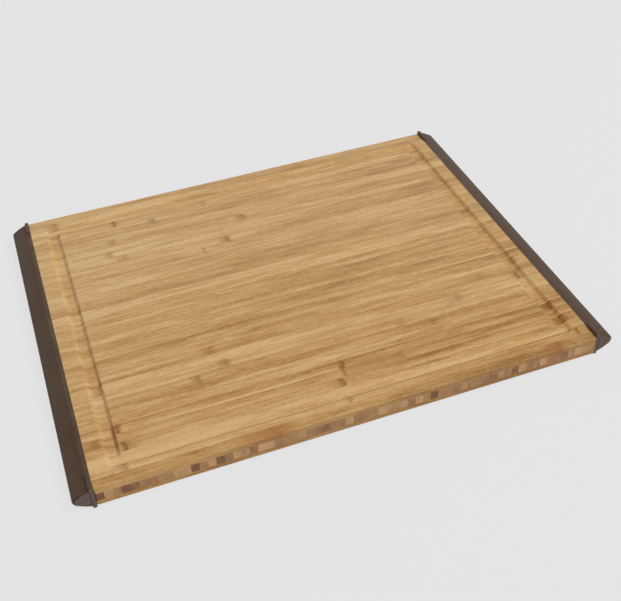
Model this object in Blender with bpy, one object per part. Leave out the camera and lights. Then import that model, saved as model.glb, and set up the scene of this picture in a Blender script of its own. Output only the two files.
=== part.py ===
"""Laminated bamboo cutting board with a soft tapered grip along each end.

Three plies of bamboo make the board. The slats of the two faces run along its length and the strips
of the core run across it, so the plies keep each other flat. A stopped slot is routed into each end
of the core for the tongue of a stiff rail. An ear at each end of the rail stands proud of both faces,
as a foot, and a soft tapered grip is moulded over the rail's outer rib. A juice groove is routed round
the top face.

Units are metres. +X runs along the board, -Y is its front and +Z is up. The origin lies on the table,
under the middle of the board.
"""

import math

import bmesh
import bpy

# Bamboo board
BOARD_LENGTH = 0.3340
BOARD_DEPTH = 0.2794
FACE_PLY = 0.0035
CORE_PLY = 0.0063
FACE_SLATS = 37
SLATS_PER_STAVE = 2
CORE_STRIPS = 64
STRIPS_PER_STAVE = 4
GLUE_LINE = 0.0001
CORNER_RADIUS = 0.0015
EDGE_ROUND = 0.0010

# Juice groove: its insets run from the edge of the board to the middle of the groove
GROOVE_WIDTH = 0.0095
GROOVE_DEPTH = 0.0020
GROOVE_END_INSET = 0.0155
GROOVE_SIDE_INSET = 0.0178

# Rail along each end of the board, level with both faces but for the ears at its ends
RAIL_THICKNESS = 0.0025
EAR_LENGTH = 0.0130
EAR_PROUD = 0.0020
EAR_ROUND = 0.0006
TONGUE_HEIGHT = 0.0030
TONGUE_REACH = 0.0060
TONGUE_STOP = 0.0180
RIB_HEIGHT = 0.0040
RIB_REACH = 0.0040
RIB_STOP = 0.0120
KEY_CLEARANCE = 0.0002

# Soft grip on each rail, level with both faces of the board
GRIP_REACH = 0.0108
NOSE_RADIUS = 0.0032
GRIP_END_ROUND = 0.0012

# Facets of the rounded surfaces
CORNER_STEPS = 6
EDGE_STEPS = 3
GROOVE_STEPS = 8
NOSE_STEPS = 10
END_STEPS = 5

# How far a cutter or a blank runs past the surface that it crosses
OVERCUT = 0.0040

# Share of a wall's thickness that the rounding of one of its edges may take at most
FULLEST_ROUND = 0.45

# Share of the rail's thickness that its tongue and its rib are each rooted in
KEY_ROOT = 0.35

# Points nearer than this are one point, and a crease sharper than this stays an arris
SAME_POINT = 0.000001
ARRIS_ANGLE = math.radians(30)

# Colour, roughness and metallic value of each material
FACE_BAMBOO = ("face_bamboo", (0.500, 0.305, 0.128), 0.50, 0.0)
CORE_BAMBOO = ("core_bamboo", (0.330, 0.180, 0.085), 0.60, 0.0)
RAIL_PLASTIC = ("rail_plastic", (0.060, 0.045, 0.034), 0.55, 0.0)
GRIP_RUBBER = ("grip_rubber", (0.080, 0.064, 0.052), 0.65, 0.0)

BOARD_THICKNESS = 2 * FACE_PLY + CORE_PLY + 2 * GLUE_LINE
BOARD_BOTTOM = EAR_PROUD
BOARD_TOP = BOARD_BOTTOM + BOARD_THICKNESS
BOARD_MIDDLE = BOARD_BOTTOM + BOARD_THICKNESS / 2
RAIL_OFFSET = BOARD_LENGTH / 2 + GLUE_LINE
GRIP_OFFSET = RAIL_OFFSET + RAIL_THICKNESS + GLUE_LINE


def clear_scene():
    """Remove every object of the open scene."""
    for item in list(bpy.data.objects):
        bpy.data.objects.remove(item, do_unlink=True)


def make_material(finish):
    """Return a Principled material for a finish of name, colour, roughness and metallic value."""
    name, colour, roughness, metallic = finish
    material = bpy.data.materials.new(name)
    material.use_nodes = True
    material.diffuse_color = (*colour, 1.0)
    shader = material.node_tree.nodes["Principled BSDF"]
    shader.inputs["Base Color"].default_value = (*colour, 1.0)
    shader.inputs["Roughness"].default_value = roughness
    shader.inputs["Metallic"].default_value = metallic
    return material


def make_object(name, mesh_builder, parent=None, material=None):
    """Turn a bmesh into a named object of the scene, with its faces pointing out."""
    bmesh.ops.recalc_face_normals(mesh_builder, faces=mesh_builder.faces)
    mesh = bpy.data.meshes.new(name)
    mesh_builder.to_mesh(mesh)
    mesh_builder.free()
    item = bpy.data.objects.new(name, mesh)
    bpy.context.scene.collection.objects.link(item)
    item.parent = parent
    if material:
        mesh.materials.append(material)
    return item


def shade_round(item):
    """Shade the round surfaces of an object smooth, and keep its arrises sharp."""
    item.data.shade_smooth()
    item.data.set_sharp_from_angle(angle=ARRIS_ANGLE)
    return item


def as_guide(item):
    """Mark an object as a shape that only cuts or bounds others."""
    item.hide_render = True
    item.display_type = "WIRE"
    return item


def combine(item, other, operation):
    """Add a live Boolean of an object with another one."""
    modifier = item.modifiers.new(other.name, "BOOLEAN")
    modifier.operation = operation
    modifier.solver = "EXACT"
    modifier.object = other


def box_mesh(low, high):
    """Return a bmesh of the box between two opposite corners."""
    builder = bmesh.new()
    bmesh.ops.create_cube(builder, size=1.0)
    for vert in builder.verts:
        for axis in range(3):
            share = vert.co[axis] + 0.5
            vert.co[axis] = low[axis] + share * (high[axis] - low[axis])
    return builder


def upright_edges(builder):
    """Return the edges of a bmesh that stand parallel to Z."""
    return [e for e in builder.edges if abs(e.verts[0].co.z - e.verts[1].co.z) > SAME_POINT]


def round_edges(builder, edges, radius, steps):
    """Round the given edges of a bmesh, and shade the rounding smooth."""
    rounding = bmesh.ops.bevel(
        builder, geom=edges, offset=radius, offset_type="OFFSET", affect="EDGES",
        segments=steps, profile=0.5, material=-1, clamp_overlap=True,
    )
    for face in rounding["faces"]:
        face.smooth = True


def board_block():
    """Return the outer shape of the glued-up board, rounded where no rail meets it."""
    builder = box_mesh(
        (-BOARD_LENGTH / 2, -BOARD_DEPTH / 2, BOARD_BOTTOM),
        (BOARD_LENGTH / 2, BOARD_DEPTH / 2, BOARD_TOP),
    )
    round_edges(builder, upright_edges(builder), CORNER_RADIUS, CORNER_STEPS)
    square_end = BOARD_LENGTH / 2 - SAME_POINT
    flat_faces = [f for f in builder.faces if abs(f.normal.z) > 0.5]
    rim = {
        edge for face in flat_faces for edge in face.edges
        if min(abs(vert.co.x) for vert in edge.verts) < square_end
    }
    round_edges(builder, list(rim), min(EDGE_ROUND, FULLEST_ROUND * FACE_PLY), EDGE_STEPS)
    return as_guide(make_object("board_block", builder))


def groove_section():
    """Return the (offset, height) points of the cutter that routs the juice groove, from the outside in."""
    half = GROOVE_WIDTH / 2
    radius = (half ** 2 + GROOVE_DEPTH ** 2) / (2 * GROOVE_DEPTH)
    spread = math.asin(half / radius)
    points = [(half, OVERCUT)]
    for step in range(GROOVE_STEPS + 1):
        angle = spread * (1 - 2 * step / GROOVE_STEPS)
        drop = radius * math.cos(angle) - radius + GROOVE_DEPTH
        points.append((radius * math.sin(angle), -drop))
    points.append((-half, OVERCUT))
    return points


def groove_cutter():
    """Return the ring that a round-nosed bit sweeps round the top face.

    Outside the path the bit turns about each corner, and inside it the two runs meet in a mitre.
    """
    path_x = BOARD_LENGTH / 2 - GROOVE_END_INSET
    path_y = BOARD_DEPTH / 2 - GROOVE_SIDE_INSET
    builder = bmesh.new()
    rings = []
    for quarter, (side_x, side_y) in enumerate(((1, 1), (-1, 1), (-1, -1), (1, -1))):
        for step in range(CORNER_STEPS + 1):
            angle = (quarter + step / CORNER_STEPS) * math.pi / 2
            ring = []
            for offset, height in groove_section():
                if offset > 0:
                    shift = (offset * math.cos(angle), offset * math.sin(angle))
                else:
                    shift = (offset * side_x, offset * side_y)
                place = (side_x * path_x + shift[0], side_y * path_y + shift[1], BOARD_TOP + height)
                ring.append(builder.verts.new(place))
            rings.append(ring)
    for ring, following in zip(rings, rings[1:] + rings[:1]):
        for k in range(len(ring)):
            after = (k + 1) % len(ring)
            builder.faces.new((ring[k], ring[after], following[after], following[k]))
    bmesh.ops.remove_doubles(builder, verts=builder.verts, dist=SAME_POINT)
    return as_guide(shade_round(make_object("groove_cutter", builder)))


def tongue_slot(side):
    """Return the cutter for the stopped slot in one end of the core; side is -1 for the left end."""
    reach = TONGUE_REACH - GLUE_LINE + KEY_CLEARANCE
    ends = (side * (BOARD_LENGTH / 2 - reach), side * (BOARD_LENGTH / 2 + OVERCUT))
    half_height = TONGUE_HEIGHT / 2 + KEY_CLEARANCE
    half_length = BOARD_DEPTH / 2 - TONGUE_STOP + KEY_CLEARANCE
    builder = box_mesh(
        (min(ends), -half_length, BOARD_MIDDLE - half_height),
        (max(ends), half_length, BOARD_MIDDLE + half_height),
    )
    return as_guide(make_object("left_tongue_slot" if side < 0 else "right_tongue_slot", builder))


def stave_spans(total, count, per_stave):
    """Yield the low and high edge of each stave of a ply.

    Args:
        total: the width that the slats fill, centred on zero.
        count: how many slats fill it.
        per_stave: how many neighbouring slats make one stave; the last stave holds what is left.
    """
    pitch = total / count
    for first in range(0, count, per_stave):
        last = min(first + per_stave, count)
        low = first * pitch - total / 2 + GLUE_LINE / 2
        high = last * pitch - total / 2 - GLUE_LINE / 2
        yield low - (OVERCUT if first == 0 else 0), high + (OVERCUT if last == count else 0)


def face_ply(prefix, low, high, board, block, material):
    """Return the staves of a face ply, which run along the board, from front to back."""
    staves = []
    reach = BOARD_LENGTH / 2 + OVERCUT
    spans = stave_spans(BOARD_DEPTH, FACE_SLATS, SLATS_PER_STAVE)
    for number, (front, back) in enumerate(spans, start=1):
        blank = box_mesh((-reach, front, low), (reach, back, high))
        stave = make_object(f"{prefix}_stave_{number:02d}", blank, board, material)
        combine(stave, block, "INTERSECT")
        staves.append(stave)
    return staves


def core_ply(low, high, board, block, material):
    """Return the staves of the core, which run across the board, from left to right."""
    staves = []
    reach = BOARD_DEPTH / 2 + OVERCUT
    spans = stave_spans(BOARD_LENGTH, CORE_STRIPS, STRIPS_PER_STAVE)
    for number, (left, right) in enumerate(spans, start=1):
        blank = box_mesh((left, -reach, low), (right, reach, high))
        stave = make_object(f"core_stave_{number:02d}", blank, board, material)
        combine(stave, block, "INTERSECT")
        staves.append(stave)
    return staves


def make_board(board):
    """Make the three plies, rout the juice groove in the top one and a slot in each end of the core."""
    block = board_block()
    face_material = make_material(FACE_BAMBOO)
    core_material = make_material(CORE_BAMBOO)
    core_low = BOARD_BOTTOM + FACE_PLY + GLUE_LINE
    core_high = core_low + CORE_PLY
    top_low = core_high + GLUE_LINE

    face_ply("bottom", BOARD_BOTTOM - OVERCUT, BOARD_BOTTOM + FACE_PLY, board, block, face_material)
    core = core_ply(core_low, core_high, board, block, core_material)
    top = face_ply("top", top_low, BOARD_TOP + OVERCUT, board, block, face_material)

    groove = groove_cutter()
    for stave in top:
        combine(stave, groove, "DIFFERENCE")
    combine(core[0], tongue_slot(-1), "DIFFERENCE")
    combine(core[-1], tongue_slot(1), "DIFFERENCE")


def rail_key(name, inner, outer, height, stop):
    """Return a bar along the rail, between two distances from the rail's inner face."""
    half_length = BOARD_DEPTH / 2 - stop
    builder = box_mesh((inner, -half_length, -height / 2), (outer, half_length, height / 2))
    return as_guide(make_object(name, builder))


def rail_ear(name, side):
    """Return the ear at one end of the rail; side is the sign of its Y."""
    ends = (side * (BOARD_DEPTH / 2 - EAR_LENGTH), side * BOARD_DEPTH / 2)
    half_height = BOARD_THICKNESS / 2 + EAR_PROUD
    builder = box_mesh((0.0, min(ends), -half_height), (RAIL_THICKNESS, max(ends), half_height))
    round_edges(builder, builder.edges[:], min(EAR_ROUND, FULLEST_ROUND * RAIL_THICKNESS), EDGE_STEPS)
    return as_guide(make_object(name, builder))


def make_rail(name, holder, material):
    """Make the rail of one end: a bar with two ears, a tongue for the core and a rib for the grip."""
    half_length = (BOARD_DEPTH - EAR_LENGTH) / 2
    rail = make_object(name, box_mesh(
        (0.0, -half_length, -BOARD_THICKNESS / 2),
        (RAIL_THICKNESS, half_length, BOARD_THICKNESS / 2),
    ), holder, material)
    ears = [rail_ear(f"{name}_ear_{number}", side) for number, side in ((1, -1), (2, 1))]
    root = KEY_ROOT * RAIL_THICKNESS
    tongue = rail_key(f"{name}_tongue", -TONGUE_REACH, root, TONGUE_HEIGHT, TONGUE_STOP)
    rib_end = RAIL_THICKNESS + GLUE_LINE + RIB_REACH
    rib = rail_key(f"{name}_rib", RAIL_THICKNESS - root, rib_end, RIB_HEIGHT, RIB_STOP)
    for addition in (*ears, tongue, rib):
        addition.parent = holder
        combine(rail, addition, "UNION")


def grip_section(inset):
    """Return the (x, z) points of the grip's section, drawn in on its three free sides by an inset.

    The root lies on x = 0. Two flat slopes run from it, each tangent to the round nose.
    """
    root = BOARD_THICKNESS / 2
    centre = GRIP_REACH - NOSE_RADIUS
    taper = math.atan2(root, centre) - math.asin(NOSE_RADIUS / math.hypot(root, centre))
    radius = NOSE_RADIUS - inset
    height = root - inset / math.cos(taper)
    spread = math.pi / 2 - taper
    points = [(0.0, height)]
    for step in range(NOSE_STEPS + 1):
        angle = spread * (1 - 2 * step / NOSE_STEPS)
        points.append((centre + radius * math.cos(angle), radius * math.sin(angle)))
    points.append((0.0, -height))
    return points


def grip_stations():
    """Yield the (y, inset) pairs along the grip: the section closes in a quarter round at each end."""
    end_round = min(GRIP_END_ROUND, FULLEST_ROUND * 2 * NOSE_RADIUS)
    quarter = [math.pi / 2 * step / END_STEPS for step in range(END_STEPS + 1)]
    straight = BOARD_DEPTH / 2 - end_round
    for angle in reversed(quarter):
        yield -straight - end_round * math.sin(angle), end_round * (1 - math.cos(angle))
    for angle in quarter:
        yield straight + end_round * math.sin(angle), end_round * (1 - math.cos(angle))


def make_grip(name, holder, material):
    """Make the soft grip of one end, with the slot that its rail's rib fills."""
    builder = bmesh.new()
    rings = []
    for y, inset in grip_stations():
        rings.append([builder.verts.new((x, y, z)) for x, z in grip_section(inset)])
    for ring, following in zip(rings, rings[1:]):
        for k in range(len(ring)):
            after = (k + 1) % len(ring)
            builder.faces.new((ring[k], ring[after], following[after], following[k]))
    builder.faces.new(rings[0])
    builder.faces.new(rings[-1])
    grip = shade_round(make_object(name, builder, holder, material))

    half_length = BOARD_DEPTH / 2 - RIB_STOP + KEY_CLEARANCE
    half_height = RIB_HEIGHT / 2 + KEY_CLEARANCE
    slot = as_guide(make_object(f"{name}_slot", box_mesh(
        (-OVERCUT, -half_length, -half_height),
        (RIB_REACH + KEY_CLEARANCE, half_length, half_height),
    ), holder))
    combine(grip, slot, "DIFFERENCE")


def make_holder(name, side, offset, board):
    """Return an empty at one end of the board; its +X points away from the board."""
    holder = bpy.data.objects.new(name, None)
    bpy.context.scene.collection.objects.link(holder)
    holder.parent = board
    holder.location = (side * offset, 0.0, BOARD_MIDDLE)
    holder.rotation_euler.z = 0.0 if side > 0 else math.pi
    return holder


def make_ends(board):
    """Make the rail and the grip of both ends; the left ones are the right ones turned about Z."""
    rail_material = make_material(RAIL_PLASTIC)
    grip_material = make_material(GRIP_RUBBER)
    for word, side in (("left", -1), ("right", 1)):
        make_rail(f"{word}_rail", make_holder(f"{word}_rail_seat", side, RAIL_OFFSET, board), rail_material)
        make_grip(f"{word}_grip", make_holder(f"{word}_grip_seat", side, GRIP_OFFSET, board), grip_material)


def main():
    """Build the board."""
    clear_scene()
    board = bpy.data.objects.new("cutting_board", None)
    bpy.context.scene.collection.objects.link(board)
    make_board(board)
    make_ends(board)


main()
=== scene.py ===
"""Looks of a laminated bamboo cutting board with a soft tapered grip along each end.

Every slat of the two faces, every strip of the core, both rails and both grips are pieces of their own.
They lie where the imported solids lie, and a slat or a strip stands for its share of a stave. Units are
metres: +X runs along the board, -Y is its front and +Z is up.
"""

import logging
import math
import random
from collections.abc import Callable, Iterable, Mapping, Sequence
from dataclasses import dataclass
from enum import Enum
from typing import Any

import bmesh
import bpy
from mathutils import Matrix, Vector

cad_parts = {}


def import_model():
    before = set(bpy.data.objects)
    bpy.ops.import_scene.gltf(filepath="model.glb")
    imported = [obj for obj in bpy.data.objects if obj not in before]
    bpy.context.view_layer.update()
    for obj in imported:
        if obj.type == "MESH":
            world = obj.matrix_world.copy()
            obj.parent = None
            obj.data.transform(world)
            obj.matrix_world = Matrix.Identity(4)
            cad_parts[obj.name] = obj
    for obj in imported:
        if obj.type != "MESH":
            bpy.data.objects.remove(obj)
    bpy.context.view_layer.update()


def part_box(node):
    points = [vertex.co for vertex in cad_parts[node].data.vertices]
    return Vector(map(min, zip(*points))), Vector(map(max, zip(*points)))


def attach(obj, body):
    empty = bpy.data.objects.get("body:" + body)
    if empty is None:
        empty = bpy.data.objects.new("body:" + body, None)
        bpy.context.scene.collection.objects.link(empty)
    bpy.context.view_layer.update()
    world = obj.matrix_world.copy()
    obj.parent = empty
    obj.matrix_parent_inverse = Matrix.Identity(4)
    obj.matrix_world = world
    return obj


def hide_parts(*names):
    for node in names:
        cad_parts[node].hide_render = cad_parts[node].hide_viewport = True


LOG = logging.getLogger("cutting_board")
MM = 0.001
BODY = "root"
Colour = tuple[float, float, float]
Span = tuple[float, float]

# Points nearer than this are one point, and a direction with this cosine or more lies along an axis
SAME_POINT = 1e-6
ALONG = 0.999

# The range from which each piece's place in the grain is drawn, and how far that moves it along each axis
DRIFTS: Span = (0.0, 40.0)
DRIFT_STEPS = (31.7, 17.3, 53.1)


class Face(Enum):
    """The two faces of the board, by the direction in which each looks."""

    TOP = 1
    BOTTOM = -1


class End(Enum):
    """The two ends of the board, by the direction in which each looks."""

    LEFT = -1
    RIGHT = 1


class Tone(Enum):
    """How a strip of the core was cut and steamed, from dark to pale."""

    DARK = -1.0
    RUSSET = -0.45
    EVEN = 0.0
    PALE = 0.75


def math_method(operation: str, swapped: bool = False) -> Callable[["Socket", "Socket | float"], "Socket"]:
    """Make an operator of a socket.

    Args:
        operation: the operation of the Math node that it adds.
        swapped: whether the other value stands on the left.

    Returns:
        The method.
    """
    def method(self: "Socket", other: "Socket | float") -> "Socket":
        """Return the result of the operation on this value and another."""
        return self.graph.maths(operation, *((other, self) if swapped else (self, other)))

    return method


class Socket:
    """A value inside a shader; Python's operators on it add Math nodes."""

    def __init__(self, graph: "Graph", output: bpy.types.NodeSocket) -> None:
        """Wrap an output of one of the graph's nodes."""
        self.graph = graph
        self.output = output

    __add__ = math_method("ADD")
    __radd__ = math_method("ADD", swapped=True)
    __sub__ = math_method("SUBTRACT")
    __rsub__ = math_method("SUBTRACT", swapped=True)
    __mul__ = math_method("MULTIPLY")
    __rmul__ = math_method("MULTIPLY", swapped=True)
    __truediv__ = math_method("DIVIDE")

    def __abs__(self) -> "Socket":
        """Return the size without its sign."""
        return self.graph.maths("ABSOLUTE", self)


class Graph:
    """The nodes of one material or of the sky."""

    def __init__(self, owner: bpy.types.Material | bpy.types.World) -> None:
        """Start with no nodes.

        Args:
            owner: the material or the sky.
        """
        owner.use_nodes = True
        self.tree = owner.node_tree
        self.tree.nodes.clear()

    def node(
        self,
        kind: str,
        settings: Mapping[str, Any] | None = None,
        inputs: Mapping[str | int, Any] | None = None,
    ) -> bpy.types.Node:
        """Add a node.

        Args:
            kind: the node's type.
            settings: its properties, set before its sockets.
            inputs: values or links of its sockets, by name or by number.

        Returns:
            The node.
        """
        made = self.tree.nodes.new(kind)
        for key, value in (settings or {}).items():
            setattr(made, key, value)
        for key, value in (inputs or {}).items():
            if isinstance(value, Socket):
                self.tree.links.new(value.output, made.inputs[key])
            else:
                made.inputs[key].default_value = value
        return made

    def out(self, made: bpy.types.Node, key: str | int = 0) -> Socket:
        """Return one output of a node, for use in expressions."""
        return Socket(self, made.outputs[key])

    def maths(self, operation: str, *values: Socket | float) -> Socket:
        """Return the result of a Math node on up to three values."""
        return self.out(self.node("ShaderNodeMath", {"operation": operation}, dict(enumerate(values))))

    def place(self, key: str = "Object") -> Socket:
        """Return the point of the surface in the piece's own coordinates, or in another set."""
        return self.out(self.node("ShaderNodeTexCoord"), key)

    def split(self, vector: Socket) -> tuple[Socket, Socket, Socket]:
        """Return the three numbers of a vector."""
        made = self.node("ShaderNodeSeparateXYZ", inputs={"Vector": vector})
        return self.out(made, "X"), self.out(made, "Y"), self.out(made, "Z")

    def number_of(self, name: str) -> Socket:
        """Return a number that the mesh holds under a name."""
        return self.out(self.node("ShaderNodeAttribute", {"attribute_name": name}), "Fac")

    def triple_of(self, name: str) -> tuple[Socket, Socket, Socket]:
        """Return three numbers that the mesh holds under a name."""
        return self.split(self.out(self.node("ShaderNodeAttribute", {"attribute_name": name}), "Vector"))

    def stretch(self, vector: Socket, counts: Sequence[float], drift: Socket) -> Socket:
        """Scale a vector for a texture.

        Args:
            vector: the vector, in metres.
            counts: how many cells of the texture a metre holds, along each axis.
            drift: moves the texture, so that no two pieces show the same part of it.

        Returns:
            The scaled and moved vector.
        """
        moves = {axis: drift * step for axis, step in zip("XYZ", DRIFT_STEPS)}
        offset = self.out(self.node("ShaderNodeCombineXYZ", inputs=moves))
        inputs = {0: vector, 1: tuple(counts), 2: offset}
        return self.out(self.node("ShaderNodeVectorMath", {"operation": "MULTIPLY_ADD"}, inputs))

    def noise(self, vector: Socket, detail: float) -> Socket:
        """Return a cloudy value around one half."""
        inputs = {"Vector": vector, "Scale": 1.0, "Detail": detail}
        return self.out(self.node("ShaderNodeTexNoise", inputs=inputs), "Fac")

    def grain(self, place: Socket, layer: "Grain", drift: Socket) -> Socket:
        """Return one layer of a piece's grain, around one half."""
        return self.noise(self.stretch(place, layer.cells, drift), layer.detail)

    def cells(self, vector: Socket) -> Socket:
        """Return the distance, in cells, from the middle of the nearest cell."""
        inputs = {"Vector": vector, "Scale": 1.0, "Randomness": 0.85}
        return self.out(self.node("ShaderNodeTexVoronoi", inputs=inputs), "Distance")

    def ease(self, value: Socket, start: float, end: float) -> Socket:
        """Return a smooth step from 0 at the start to 1 at the end, which may be the smaller number."""
        inputs = {"Value": value, "From Min": start, "From Max": end}
        return self.out(self.node("ShaderNodeMapRange", {"interpolation_type": "SMOOTHSTEP"}, inputs))

    def ramp(self, value: Socket, stops: Sequence[tuple[float, Colour]]) -> Socket:
        """Look up a colour in a ramp.

        Args:
            value: the place in the ramp.
            stops: at least two pairs of a place and a colour, in order.

        Returns:
            The colour at that place.
        """
        made = self.node("ShaderNodeValToRGB", inputs={"Fac": value})
        elements = made.color_ramp.elements
        first, *middle, last = stops
        for element, (place, colour) in zip(elements, (first, last)):
            element.position = place
            element.color = (*colour, 1.0)
        for place, colour in middle:
            elements.new(place).color = (*colour, 1.0)
        return self.out(made, "Color")

    def mix(self, share: Socket | float, base: Socket | Colour, other: Socket | Colour) -> Socket:
        """Return the base colour with a share, from 0 to 1, of the other one."""
        first, second = (c if isinstance(c, Socket) else (*c, 1.0) for c in (base, other))
        return self.out(self.node(
            "ShaderNodeMix", {"data_type": "RGBA"}, {0: share, 6: first, 7: second},
        ), 2)

    def relief(self, height: Socket, depth: float, strength: float) -> Socket:
        """Return the normal of a surface with a fine relief of the given depth."""
        inputs = {"Height": height, "Distance": depth, "Strength": strength}
        return self.out(self.node("ShaderNodeBump", inputs=inputs), "Normal")

    def skin(self, **inputs: Any) -> Socket:
        """Return a Principled shader; an underscore in a socket's name stands for a space."""
        sockets = {name.replace("_", " "): value for name, value in inputs.items()}
        return self.out(self.node("ShaderNodeBsdfPrincipled", inputs=sockets))

    def surface(self, shader: Socket, kind: str = "ShaderNodeOutputMaterial") -> None:
        """Make a shader the surface of the material, or of the sky with another kind of output."""
        self.node(kind, inputs={"Surface": shader})


@dataclass(frozen=True)
class Grain:
    """One layer of the grain of a surface.

    Attributes:
        cells: how many of its cells a metre holds, along each axis.
        detail: how many finer layers it carries.
        weight: how strongly it shades the surface.
    """

    cells: tuple[float, float, float]
    detail: float
    weight: float = 0.0


@dataclass(frozen=True)
class CulmNode:
    """A node of the bamboo culm where it crosses a slat.

    Attributes:
        at: its place along the board, from the middle.
        reach: half its length.
        depth: how dark it is, from 0 to 1.
        red: how red it is, from 0 to 1.
        tail: how far a brown tint runs on from it, to the left where it is below zero.
    """

    at: float
    reach: float
    depth: float
    red: float = 0.0
    tail: float = 1.0 * MM

    @classmethod
    def in_mm(
        cls, at: float, reach: float, depth: float, red: float = 0.0, tail: float = 1.0,
    ) -> "CulmNode":
        """Return a node whose lengths are given in millimetres."""
        return cls(at * MM, reach * MM, depth, red, tail * MM)


@dataclass(frozen=True)
class SlatLook:
    """What sets one slat apart from its neighbours.

    Attributes:
        tone: from -1, brown, to 1, pale.
        grade: how much paler its front edge is than its back edge, where the dense outer wall lies.
        drift: where in the grain it was cut, if chance doesn't say.
    """

    tone: float
    grade: float
    drift: float | None = None


@dataclass(frozen=True)
class ScorchAndShade:
    """A darker streak on a wall of the groove, where the bit burned it; the band along the front run's
    outer wall is partly painted shade.

    Attributes:
        x: the middle of the streak along the board.
        y: its middle across the board.
        half_width: half its extent along X.
        half_length: half its extent along Y.
        depth: how dark it is, from 0 to 1.
    """

    x: float
    y: float
    half_width: float
    half_length: float
    depth: float


NO_NODE = CulmNode(0.0, 1.0 * MM, 0.0)
NODES_PER_SLAT = 3

# From where to where chance draws a culm node's at, reach, depth and red, with lengths in millimetres
NODE_RANGES: Sequence[Span] = ((-160, 160), (2, 5), (0.2, 0.6), (0.0, 0.6))

# Slats of the top face, counted from the front, whose tone and edges show most: tone, grade and drift
FRONT_SLATS: Mapping[int, Sequence[float]] = {
    1: (-0.40, 0.00, 21.0), 2: (0.30, 0.00), 3: (0.67, 0.60), 4: (-0.30, 0.55), 5: (-0.20, 0.15),
    6: (-0.15, 0.45), 7: (0.30, 0.10), 8: (-0.05, 0.35), 9: (0.10, 0.00), 10: (0.40, 0.00),
    11: (0.30, 0.30), 12: (-0.20, -0.05), 13: (0.15, 0.35), 14: (-0.30, 0.40), 16: (-0.40, 0.00),
    17: (-0.24, 0.10), 18: (-0.27, 0.00), 20: (0.62, 0.00), 21: (0.35, 0.25), 22: (-0.10, 0.10),
    23: (-0.15, -0.10), 26: (-0.10, 0.05), 28: (0.10, 0.00), 33: (-0.25, 0.00), 35: (0.20, 0.00),
}

# The front slat of the bottom face, darker as painted shade where the board meets the floor
SHADED_LOWER_EDGE = SlatLook(-0.90, 0.00)

# Culm nodes of the top face, by slat: at, reach, depth, red and tail, with lengths in millimetres
TOP_NODES: Mapping[int, Sequence[Sequence[float]]] = {
    1: ((137, 8.0, 0.60, 0.7), (-62, 18.0, 0.55, 0.8)),
    2: ((-147, 3.5, 0.40, 0.3), (-3, 2.0, 0.40), (158.5, 1.8, 0.80, 0.3)),
    4: ((-143.5, 2.2, 0.95, 0.0, 13), (-2.5, 2.6, 0.70, 0.0, -12), (155, 6.5, 0.80, 0.2)),
    5: ((-162, 6.5, 0.60, 0.4), (2, 1.5, 0.55, 0.2, 75), (40, 6.0, 0.25)),
    6: ((-145.5, 3.5, 0.75, 0.4), (2.5, 2.6, 0.90, 0.2, 40), (154, 5.0, 0.75, 0.3)),
    8: ((72, 7.0, 0.30),),
    9: ((-88.5, 3.5, 0.50), (54, 4.0, 0.30, 0.6)),
    10: ((-68, 5.0, 0.42), (99, 7.0, 0.35)),
    11: ((-150, 4.0, 0.45), (151, 4.5, 0.62)),
    12: ((-74.5, 5.5, 0.48, 1.0), (123, 9.0, 0.25)),
    13: ((155.5, 4.5, 0.50),),
    26: ((-47.5, 1.6, 0.36),),
    27: ((-29, 5.0, 0.55),),
    28: ((-107, 5.0, 0.35),),
    29: ((-116, 4.0, 0.35),),
    30: ((-10, 5.0, 0.50),),
    31: ((-111, 4.0, 0.35),),
    33: ((-76, 4.0, 0.40),),
    34: ((-104.5, 2.4, 0.75), (-33, 3.0, 0.30)),
    36: ((-150, 6.0, 0.45, 0.5),),
}

# Burns on the walls of the end runs and the front run of the groove; the long band on the front run's
# outer wall is partly painted shade
SCORCHES_AND_SHADE: Sequence[ScorchAndShade] = (
    ScorchAndShade(-146.9 * MM, -5 * MM, 1.2 * MM, 115 * MM, 0.23),
    ScorchAndShade(-147.0 * MM, -105 * MM, 1.9 * MM, 12 * MM, 0.72),
    ScorchAndShade(-147.0 * MM, -55 * MM, 1.6 * MM, 5 * MM, 0.60),
    ScorchAndShade(154.4 * MM, -98 * MM, 2.2 * MM, 4 * MM, 0.35),
    ScorchAndShade(154.2 * MM, -114 * MM, 2.4 * MM, 3 * MM, 0.40),
    # partly painted shade: darkens the front run's outer wall, which lies in shadow, and tints it brown
    # like a burn
    ScorchAndShade(-60 * MM, -126.6 * MM, 190 * MM, 1.6 * MM, 0.45),
)

# Strips of the core, counted from the left, that aren't of the even tone
STRIP_TONES: Mapping[Tone, Sequence[int]] = {
    Tone.DARK: (1, 4, 5, 12, 15, 42),
    Tone.RUSSET: (16, 19, 27, 28, 53, 55, 60),
    Tone.PALE: (2, 10, 11, 14, 17, 20, 21, 31, 35, 38, 40, 54, 57, 62),
}


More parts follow.
